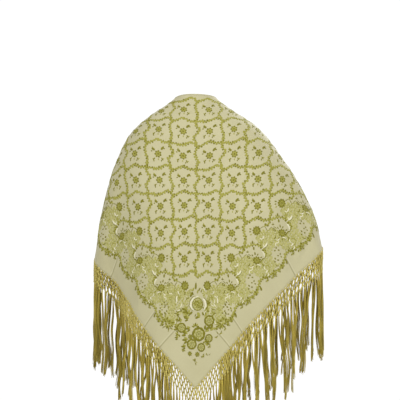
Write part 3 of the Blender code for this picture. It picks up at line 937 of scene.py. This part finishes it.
def ground_inside(x, y):
    """The dense part of one repeat: from the outer garland in to a stepped line under the arches and
    the crook, without the open bay and the second flower."""
    top = np.interp((x + 12) % REPEAT - 12, GROUND_TOP[:, 0], GROUND_TOP[:, 1])
    u = x / REPEAT + 0.5
    level_x = (STEP_IN - y + x) / 2 ** 0.5
    level_y = (x - STEP_IN + y) / 2 ** 0.5
    open_bay = ((level_x - 98) / 18) ** 2 + ((level_y + 92) / 23) ** 2 < 1
    blossom = np.hypot(level_x - 113, level_y + 35) < 11
    before = np.hypot(level_x - 38, level_y + 110) < 11
    return (y < top) & (y > outer_wave(u)[1] + 6) & ~open_bay & ~blossom & ~before


def dense_ground(seed, count, region):
    """Many small leaves that fill a region evenly, in swirls, with darker leaves and dots among them.

    Places come from a low-discrepancy series, so they spread evenly with no row or column.
    """
    chance = np.random.default_rng(seed)
    (x0, x1), (y0, y1), inside = region
    k = np.arange(1, 12 * count)
    x = x0 + (x1 - x0) * ((k * SPREAD[0]) % 1)
    y = y0 + (y1 - y0) * ((k * SPREAD[1]) % 1)
    keep = inside(x, y)
    x, y = x[keep][:count], y[keep][:count]
    swirl = 70 * np.sin(x / 9.0 + y / 14.0) + 60 * np.cos(y / 8.0 - x / 17.0)
    n = len(x)
    heading = swirl + chance.uniform(-20, 20, n)
    length = chance.uniform(8.0, 10.5, n)
    leaves = np.stack([x - np.cos(np.radians(heading)) * length / 2,
                       y - np.sin(np.radians(heading)) * length / 2, heading, length,
                       length * chance.uniform(0.48, 0.62, n), chance.uniform(-50, 50, n),
                       np.full(n, PALE)], axis=1)
    veins = leaves[::4] * (1, 1, 1, 0.8, 0.34, 1, 1)
    veins[:, 6] = LEAF
    dots = leaves[1::6] * (1, 1, 1, 0.3, 0.42, 0, 1)
    dots[:, 6] = OLIVE
    arcs = leaves[::9].copy()
    arcs[:, 3:6] = np.stack([chance.uniform(14, 19, len(arcs)), chance.uniform(2.2, 3.2, len(arcs)),
                             chance.choice([-140, 140], len(arcs))], axis=1)
    arcs[:, 6] = np.take((LEAF, OLIVE, LEAF, CREAM), np.arange(len(arcs)) % 4)
    return join(leaves, veins, dots, arcs)


side_ground = dense_ground(11, 250, ((-REPEAT / 2, REPEAT / 2), (OUTER_IN, 158), ground_inside))
side_garland = join(
    garland(outer_wave, 15, 7.4, 61, 4.2),
    motif((5, 46, 70, 15, 5.6, 60, OLIVE), (12, 55, 120, 9, 4.2, 40, OLIVE)),
    several(spray, (-48, 55, 215, 1.1), (-42, 50, 290, 0.9), (38, 58, 200, 0.8), (44, 62, 60, 0.8),
            (-22, 50, 80, 0.7)),
)
print("pads in one repeat:", len(step_motifs), len(side_ground), len(side_garland))

# %% Lay the repeats along both sides
STEPS_OF_BORDER = 9
TIGHT_BEND = 100      # degrees past which a pad of the ground is a scroll and gets more steps
border_parts, ground_parts = [], []
for step in range(STEPS_OF_BORDER):
    along = STEP_IN + REPEAT * step
    corner = (CELL * step, -(ROW_TOP + CELL * (ROWS_OF_CELLS - step)))
    middle = (along / 2 ** 0.5, -DEPTH * 1000 + along / 2 ** 0.5)
    motifs = placed(step_motifs, *corner)
    vine, ground = placed(side_garland, *middle, 45), placed(side_ground, *middle, 45)
    if step == 0:    # leave room for the posy
        motifs = motifs[(motifs[:, 0] > 24) & ~((motifs[:, 0] < 52) & (motifs[:, 1] < -585))]
        vine = vine[vine[:, 0] > 101]
        ground = ground[ground[:, 0] > 34 + 18 * np.sin(ground[:, 1] / 40)]
    border_parts += [motifs, vine]
    ground_parts.append(ground)
border, ground = join(*border_parts), join(*ground_parts)
curled = np.abs(ground[:, 5]) > TIGHT_BEND
for name, rows, steps in (("border", border, BORDER_STEPS), ("ground", ground[~curled], GROUND_STEPS),
                          ("scrolls", ground[curled], PAD_STEPS)):
    pads(name + "_right", rows, steps)
    pads(name + "_left", placed(rows, mirror=True), steps)

# %% [markdown]
# ## The point
#
# The two borders meet above the point in a posy: an oval medallion with a plume, a large rose among
# smaller ones, leaves to both sides and a trailing tail. The roses are set unevenly, as the hand
# that drew them for stitching would have done.

# %% The posy at the point
def rose(radius, seed):
    """A full rose: an outer ring of broad dark petals, paler petals in it, a dark ring and a pale heart."""
    spin = np.random.default_rng(seed).uniform(0, 50)
    return join(ring(9, radius * 0.02, radius * 0.9, radius * 0.4, PALE, start=spin),
                band(7, radius * 0.8, radius * 0.4, OLIVE, start=spin),
                ring(7, radius * 0.72, radius * 0.38, radius * 0.42, OLIVE, start=spin + 10),
                ring(7, radius * 0.42, radius * 0.24, radius * 0.14, LEAF, start=spin + 35),
                band(6, radius * 0.34, radius * 0.12, OLIVE, start=spin + 10),
                ring(4, radius * 0.02, radius * 0.14, radius * 0.1, OLIVE, start=spin))


def oval_inside(x, y):
    """Inside the medallion."""
    return (x / 15.5) ** 2 + (y / 17.5) ** 2 < 1


medallion = join(
    motif((-4, 20, 268, 54, 7.0, 160, CREAM), (11, 17, 272, 46, 6.6, -140, CREAM),
          (-4, 25, 268, 66, 2.2, 162, OLIVE), (13, 21, 272, 56, 2.2, -142, OLIVE)),
    ring(6, 0.5, 12, 6.0, LEAF, start=12), dense_ground(21, 44, ((-15, 15), (-18, 18), oval_inside)),
    band(13, 14.5, 2.6, OLIVE, squash=1.12),
    placed(ring(6, 2, 8, 3.6, OLIVE), -3, 3), placed(ring(5, 1, 6, 3.0, OLIVE), 6, -7),
)
leaf_pair = motif((0, 0, 150, 18, 7.0, 20, OLIVE), (2, -1, 118, 16, 6.2, 15, LEAF),
                  (-1, -3, 182, 15, 6.2, 20, OLIVE))
tendril = motif((0, 0, 100, 14, 2.2, 80, OLIVE), (-4, 11, 190, 10, 2.0, 110, OLIVE),
                (0, 0, 60, 10, 3.2, -30, LEAF))


def tip_inside(x, y):
    """The pale ground at both sides of the medallion, down to the garlands' ends."""
    side = np.abs(x - 3)
    clear = ((x - 6) / 27) ** 2 + ((y + 624) / 28) ** 2 > 1
    band_part = (y > -664 + 0.22 * side) & (y < -580 - 0.05 * side)
    flowers = np.hypot(side - 33, y + 574) > 13
    roses = (np.hypot(x + 36, y + 688) > 15) & (np.hypot(x - 41, y + 669) > 15)
    bays = ((side - 87) / 15) ** 2 + ((y + 640) / 19) ** 2 > 1
    return clear & flowers & roses & bays & band_part & (side - y < 742) & (side > 18) & (side < 110)

# %% Set out the posy
ROSES = ((18.5, 10, -706), (13, -41, -688), (14.5, 41, -669), (14, -11, -733), (11.5, 18, -742),
         (11, 41, -717))    # radius, x and y
BUDS = ((7, 9, -15, -713), (6.5, 10, -17, -759), (7, 7, 6, -761))    # radius, seed, x and y
plume = motif((-18, -606, 62, 19, 7.4, -40, OLIVE), (-12, -590, 60, 14, 5.4, -30, LEAF),
              (-1, -586, 88, 22, 6.0, -12, OLIVE), (4, -596, 80, 12, 4.6, 0, LEAF),
              (9, -590, 60, 13, 4.0, -70, OLIVE), (17, -594, 70, 12, 3.8, -80, OLIVE),
              (-8, -600, 130, 12, 4.4, 20, OLIVE), (22, -604, 40, 11, 4.2, -40, LEAF),
              (-24, -596, 140, 9, 3.4, 30, LEAF))
under_medallion = motif((4, -646, 285, 20, 8.4, -80, LEAF), (9, -655, 215, 14, 6.4, -70, OLIVE),
                        (1, -650, 250, 10, 2.6, -40, OLIVE))
tail = motif((0, -772, 266, 12, 3.6, 30, OLIVE), (-1, -783, 285, 9, 3.0, -60, OLIVE),
             (1, -781, 330, 6, 2.4, 0, LEAF))
pale_arcs = motif((-61, -598, -70, 24, 5.2, 70, CREAM), (66, -604, -100, 22, 4.6, -70, CREAM),
                  (-64, -597, -70, 27, 1.6, 70, OLIVE), (-40, -640, 200, 16, 3.4, 60, CREAM),
                  (52, -622, -60, 14, 3.2, -60, CREAM))
ends = join(
    garland(through((118, -640), (111, -655), (102, -667), (86, -675), (70, -684), (58, -692)),
            9, 6.6, 71, 4.4),
    garland(through((-104, -640), (-102, -655), (-91, -666), (-74, -674), (-52, -679)), 8, 6.6, 72, 4.4),
    *(several(spray, (side * 84, -668, side * 20, 1.25), (side * 80, -680, 150, 1.25),
              (side * 92, -674, side * -60, 1.25), (side * 72, -676, side * 70, 1.25)) for side in (1, -1)),
)
pads("posy", join(
    ends, placed(medallion, 6, -624), plume, under_medallion, tail, pale_arcs,
    dense_ground(31, 250, ((-112, 118), (-668, -580), tip_inside)),
    *(placed(rose(radius, seed), x, y) for seed, (radius, x, y) in enumerate(ROSES, 1)),
    *(placed(flower(7, radius, seed), x, y) for radius, seed, x, y in BUDS),
    several(spray, (0.5, -686, 0, 1.25), (-20, -654, 30, 1.7), (-46, -648, 60, 1.2), (30, -640, -30, 1.3),
            (27, -724, 240, 1.0), (-50, -704, 120, 1.1), (-36, -748, 150, 0.7), (22, -764, 230, 0.8),
            (42, -738, 230, 0.7), (-4, -774, 200, 0.6)),
    several(leaf_pair, (-24, -642, 10, 1.0), (34, -626, -110, 0.9), (-16, -690, 40, 0.8),
            (-26, -706, 0, 1.0), (-24, -722, 30, 0.95), (-46, -672, -60, 0.8), (29, -696, -105, 1.0),
            (44, -694, -85, 1.0), (32, -730, 200, 0.8), (-52, -692, -10, 0.8), (-30, -740, 30, 0.8),
            (2, -722, -60, 0.6), (26, -656, -70, 0.8), (-20, -664, 20, 0.8), (-52, -716, 20, 0.6)),
    several(tendril, (58, -714, -70, 1.0), (-66, -694, 60, 0.9), (72, -706, -40, 1.1), (-79, -696, 20, 1.2),
            (86, -696, -20, 1.1), (34, -756, -150, 0.8)),
    several(triad, (-84, -630, 0, 1.1), (-82, -648, 10, 1.0), (88, -630, 0, 1.1), (85, -648, -10, 1.0)),
))

# %% [markdown]
# ## Rolled hems
#
# The three edges are rolled and whipped by hand. Each roll is a thin tube along the edge, in the same
# crepe as the cloth. The whipping is too fine to show here.

# %% Rolled hems
HEM_RADIUS = 0.00115


def frames_along(path):
    """Two unit vectors square to each step of a path, for paths by points by 3."""
    way = unit(np.gradient(path, axis=-2))
    other = np.where(np.abs(way[..., 2:3]) > 0.8, np.array([1.0, 0.0, 0.0]), np.array([0.0, 0.0, 1.0]))
    first = unit(np.cross(way, other))
    return first, np.cross(way, first)


def tubes(name, paths, radius, sides, material, taper=1.0):
    """Closed tubes along many paths at once: each point of a path grows a ring of corners, and a
    point closes each end. radius may differ from point to point."""
    n, m = paths.shape[:2]
    radius = np.broadcast_to(np.asarray(radius, float), (n, m)) * np.linspace(1, taper, m)[None, :]
    first, second = frames_along(paths)
    angle = np.arange(sides) * 2 * np.pi / sides
    rings = paths[:, :, None] + radius[..., None, None] * (
        np.cos(angle)[:, None] * first[:, :, None] + np.sin(angle)[:, None] * second[:, :, None])
    points = np.concatenate([paths[:, :1], rings.reshape(n, -1, 3), paths[:, -1:]], axis=1)
    none = np.zeros((n, 1))
    steps = np.linalg.norm(np.diff(paths, axis=1), axis=2)
    length = np.concatenate([none, np.cumsum(steps, axis=1)], axis=1)
    around = np.broadcast_to(np.tile(np.arange(sides) * 0.001, m), (n, m * sides))
    flat = np.stack([capped(length[:, :1], np.repeat(length, sides, axis=1), length[:, -1:]),
                     capped(none, around, none)], axis=2)
    piece = make_mesh(name, points, chain_faces(n, m, sides), material, flat)
    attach(piece, "root")
    return piece


for name, path in (("hem_fringe", table[None, :, -1]), ("hem_neck", table[None, :, 0])):
    tubes(name, path, HEM_RADIUS, 8, cloth_finish)

# %% [markdown]
# ## The knotted net
#
# The fringe is tied into the edge in pairs of yarns. Each pair parts, meets its neighbour's half and
# is knotted to it, four rows down, so that diamonds stay open between the knots. The net hangs plumb
# from the edge. Here a link between two knots is a pair of thin tubes, and a knot is a short swollen
# tube, all made in one go from arrays of knot places.

# %% Yarn
def yarn(dark, light):
    """Silky twisted yarn: dark and light streaks along the drop, partly the yarns' own uneven tone and partly
    painted shade between the yarns and painted highlight on them, a fine twist across it, and a soft gloss.
    """
    def build(tree):
        stretched = Sock.node(tree, "ShaderNodeMapping", {"vector_type": "POINT"},
                              {"Vector": object_place(tree), "Scale": (1.0, 1.0, 0.06)})
        streak_and_shade, broad = noise(tree, stretched, 190.0), noise(tree, stretched, 38.0)
        twist = bands(tree, flat_place(tree), "DIAGONAL", 260.0, 0.6)
        # The streaky mix is partly the yarns' own uneven tone and partly painted shade between the yarns and
        # a painted highlight on them.
        tone = (streak_and_shade * 1.3 + broad * 0.9 - 0.62).clamp()
        return {"Base Color": mix(tree, tone, dark, light), "Roughness": streak_and_shade * 0.14 + 0.3,
                "Normal": relief(tree, twist, 0.4, 0.0003)}
    return build


# For the fringe and the net, the dark colour is partly painted shade and the light colour is partly a painted
# highlight.
yarn_finish = finish("silky_yarn", yarn(srgb(132, 112, 24), srgb(234, 214, 102)), Specular_IOR_Level=0.3)
net_finish = finish("net_yarn", yarn(srgb(156, 139, 44), srgb(231, 216, 124)), Specular_IOR_Level=0.35)

# %% Places on the net
BUNDLES = 96
SIDE_LENGTH = DEPTH * 2 ** 0.5
PITCH = SIDE_LENGTH / BUNDLES
NET_ROWS = (0.0008, 0.0140, 0.0280, 0.0425, 0.0575)    # how far below the edge each row of knots is
LINK_RADIUS, LINK_POINTS = 0.00112, 4
KNOT_HALF = 0.0030
KNOT_RADII = np.array([0.0010, 0.0024, 0.0028, 0.0023, 0.0012])


def hanging(side, along, drop, out=0.0):
    """A place on the plumb band under one fringed side.

    along is the flat distance from the point, drop the height below the edge, and out the distance
    outwards from the band's middle.
    """
    along, drop = np.asarray(along, float), np.asarray(drop, float)
    at = REACHES + side * np.clip(along / SIDE_LENGTH, 0, 1) * REACHES
    i = np.clip(np.floor(at).astype(int), 0, 2 * REACHES - 1)
    part = (at - i)[..., None]
    place = table[i, -1] * (1 - part) + table[i + 1, -1] * part
    normal = unit((outward[i, -1] * (1 - part) + outward[i + 1, -1] * part) * (1, 1, 0))
    down = np.zeros_like(place)
    down[..., 2] = -drop
    return place + down + normal * np.asarray(out, float)[..., None]

# %% Tie the net
def tie_net(name, side, seed):
    """Knots in staggered rows, and a pair of yarns from each knot to both knots below it."""
    chance = np.random.default_rng(seed)
    knots = []
    for row, drop in enumerate(NET_ROWS):
        shift = 0.5 if row % 2 == 0 else 0.0
        along = (np.arange(BUNDLES + 1 - (row % 2 == 0)) + shift) * PITCH
        along = np.clip(along, 0.0015, SIDE_LENGTH - 0.0015)
        wander = chance.uniform(-1, 1, (3, len(along)))
        knots.append((along + 0.0009 * wander[0], drop + 0.0011 * wander[1] * (0 < row), 0.0007 * wander[2]))
    paths = []
    u = np.linspace(0, 1, LINK_POINTS)[None, :]
    for row in range(len(NET_ROWS) - 1):
        upper, lower = knots[row], knots[row + 1]
        for reach in (-1, 1):
            a = np.arange(len(upper[0]))
            b = a + (reach > 0) if row % 2 == 0 else a - (reach < 0)
            ok = (b >= 0) & (b < len(lower[0]))
            a, b = a[ok], b[ok]
            for strand in (-1, 1):
                bow = 0.0010 * strand + reach * 0.0014
                along = upper[0][a, None] * (1 - u) + lower[0][b, None] * u + bow * np.sin(np.pi * u)
                drop = upper[1][a, None] * (1 - u) + lower[1][b, None] * u
                out = upper[2][a, None] * (1 - u) + lower[2][b, None] * u + strand * 0.0005 + 0.0006 * reach
                paths.append(hanging(side, along, drop, out))
    links = tubes(name + "_links", np.concatenate(paths), LINK_RADIUS, 4, net_finish)
    along, drop, out = (np.concatenate([k[part] for k in knots])[:, None] for part in range(3))
    rise = np.linspace(-KNOT_HALF, KNOT_HALF, len(KNOT_RADII))[None, :]
    lean = chance.uniform(-0.25, 0.25, (len(along), 1))
    blobs = hanging(side, along + rise * lean, drop + rise, out + rise * 0.1)
    for piece in (links, tubes(name + "_knots", blobs, KNOT_RADII, 5, net_finish)):
        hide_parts(name)


tie_net("net_right", 1, 31)
tie_net("net_left", -1, 32)

# %% [markdown]
# ## The loose fringe
#
# Below the last knots each bundle of yarns hangs free. Real fringe never hangs in perfect lines:
# bundles sway, lean on each other and cross, yarns part a little on the way down, and their ends are
# uneven. Each yarn is a path of sixteen points, worked out for all bundles at once.

# %% Hang the yarns
YARNS = 9               # in each bundle
YARN_POINTS = 16
YARN_RADIUS = 0.00078
FRINGE_LONG, FRINGE_VARY = 0.222, 0.020
SWAYS = ((0, 0.0065), (1, 0.0040))    # along the side and out from it: the size of the sway
GOLDEN_TURN = 2.39996                 # radians from one yarn to the next, so that none hides another


def hang_fringe(name, side, seed):
    """Yarns in bundles: a bundle's path is a plumb line plus slow sways that grow on the way down,
    and each yarn keeps its own place in the bundle, which turns slowly and opens towards the end."""
    chance = np.random.default_rng(seed)
    along = (np.arange(BUNDLES) + 0.5) * PITCH
    length = FRINGE_LONG + FRINGE_VARY * chance.uniform(-1, 1, BUNDLES)
    clump = np.repeat(np.arange(BUNDLES), chance.integers(1, 4, BUNDLES))[:BUNDLES]
    middle = (np.bincount(clump, along) / np.bincount(clump))[clump]
    u = np.linspace(0, 1, YARN_POINTS)[None, None, :]
    shape = (BUNDLES, 1, 1)
    sway = np.zeros((2, BUNDLES, 1, YARN_POINTS))
    for axis, size in SWAYS:
        for wave in (0.55, 1.1, 1.9):
            phase = chance.uniform(0, 2 * np.pi, BUNDLES)[clump].reshape(shape)
            power = (chance.normal(0, 1, BUNDLES)[clump] + chance.normal(0, 0.35, BUNDLES)).reshape(shape)
            swing = np.sin(2 * np.pi * wave * u + phase) - np.sin(phase)
            sway[axis] += size * power / (1 + wave) * swing * u ** 0.6
    turn = chance.uniform(0, 2 * np.pi, shape) + 2.4 * u * chance.uniform(-1, 1, shape)
    spot_angle = (np.arange(YARNS) * GOLDEN_TURN)[None, :, None]
    spot = np.sqrt((np.arange(YARNS) + 0.4) / YARNS)[None, :, None]
    opening = (0.0010 + 0.0016 * np.minimum(u * 6, 1) + 0.0008 * u ** 2) * chance.uniform(0.75, 1.25, shape)
    own = chance.normal(0, 0.0007, (2, BUNDLES, YARNS, 1)) * u ** 1.4
    gather = 0.55 * (middle - along).reshape(shape) * ease(u, 0.02, 0.42)
    place_along = (along[:, None, None] + gather + sway[0]
                   + spot * opening * np.cos(spot_angle + turn) + own[0])
    place_out = sway[1] + spot * opening * np.sin(spot_angle + turn) * 0.8 + own[1]
    ends = (length[:, None] + chance.uniform(-0.006, 0.004, (BUNDLES, YARNS)))[..., None]
    drop = NET_ROWS[-1] + 0.001 + ends * u
    anchor = np.broadcast_to(along[:, None, None], place_along.shape)
    top = hanging(side, anchor, drop, place_out)
    ahead = hanging(side, anchor + 0.002, drop, place_out) - hanging(side, anchor - 0.002, drop, place_out)
    ahead = unit(ahead * (1, 1, 0))
    paths = (top + ahead * (place_along - anchor)[..., None]).reshape(-1, YARN_POINTS, 3)
    piece = tubes(name + "_yarns", paths, YARN_RADIUS, 3, yarn_finish, taper=0.8)
    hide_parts(name)
    print(name, "yarns hang down to", round(float(paths[..., 2].min()), 3), "m")


hang_fringe("fringe_right", 1, 41)
hang_fringe("fringe_left", -1, 42)

# %% [markdown]
# ## Stage, light and camera
#
# The photograph is a catalogue picture on white: even light with one softer side, seen square from
# behind. A long lens a few metres away keeps the outline as flat as it is there.

# %% Stage and light
FLOOR_Z = -1.42
floor_mesh = bpy.data.meshes.new("floor")
corners = [(-6, -9, FLOOR_Z), (6, -9, FLOOR_Z), (6, 6, FLOOR_Z), (-6, 6, FLOOR_Z)]
floor_mesh.from_pydata(corners, [], [(0, 1, 2, 3)])
floor = add_object("floor", floor_mesh)
pale_floor = finish("pale_floor", lambda tree: {}, Base_Color=srgb(240, 240, 238), Roughness=0.8)
floor_mesh.materials.append(pale_floor)

world = bpy.data.worlds.new("studio")
bpy.context.scene.world = world
world.use_nodes = True
background = world.node_tree.nodes["Background"]
background.inputs["Color"].default_value = (1.0, 1.0, 1.0, 1.0)
# Seen by the camera the background is pure white, and as a light it is about half as strong.
seen = Sock.node(world.node_tree, "ShaderNodeLightPath")
world.node_tree.links.new((seen * 0.55 + 0.50).out, background.inputs["Strength"])


def area_light(name, place, target, size, power):
    """A soft square light at a place, turned to face a target."""
    lamp = bpy.data.lights.new(name, "AREA")
    lamp.shape, lamp.size, lamp.energy = "SQUARE", size, power
    made = add_object(name, lamp)
    made.location = place
    x, y, z = np.array(target, float) - np.array(place, float)
    made.rotation_euler = (math.atan2(math.hypot(x, y), -z), 0, math.atan2(y, x) - math.pi / 2)


area_light("key", (-1.5, -2.9, 3.0), (0, -0.1, -0.35), 1.0, 80)
area_light("fill", (2.4, -3.0, 1.2), (0, -0.1, -0.4), 1.4, 46)
area_light("front_fill", (1.5, 3.2, 1.4), (0, 0.1, -0.4), 1.6, 56)

# %% Camera
SENSOR = 36.0
CAMERA_PLACE = (0.012, -8.0, -0.28)
SUBJECT_FAR, VIEW_HALF = 7.9, 0.55    # metres to the shawl, and half the width seen there
camera_data = bpy.data.cameras.new("camera")
camera_data.sensor_width = SENSOR
camera_data.lens = SENSOR / 2 * SUBJECT_FAR / VIEW_HALF
camera_data.clip_end = 50
camera = add_object("camera", camera_data)
camera.location = CAMERA_PLACE
camera.rotation_euler = (math.pi / 2, 0, 0)
bpy.context.scene.camera = camera
bpy.context.scene.view_settings.view_transform = "Standard"
print("lens:", round(camera_data.lens, 1), "mm")
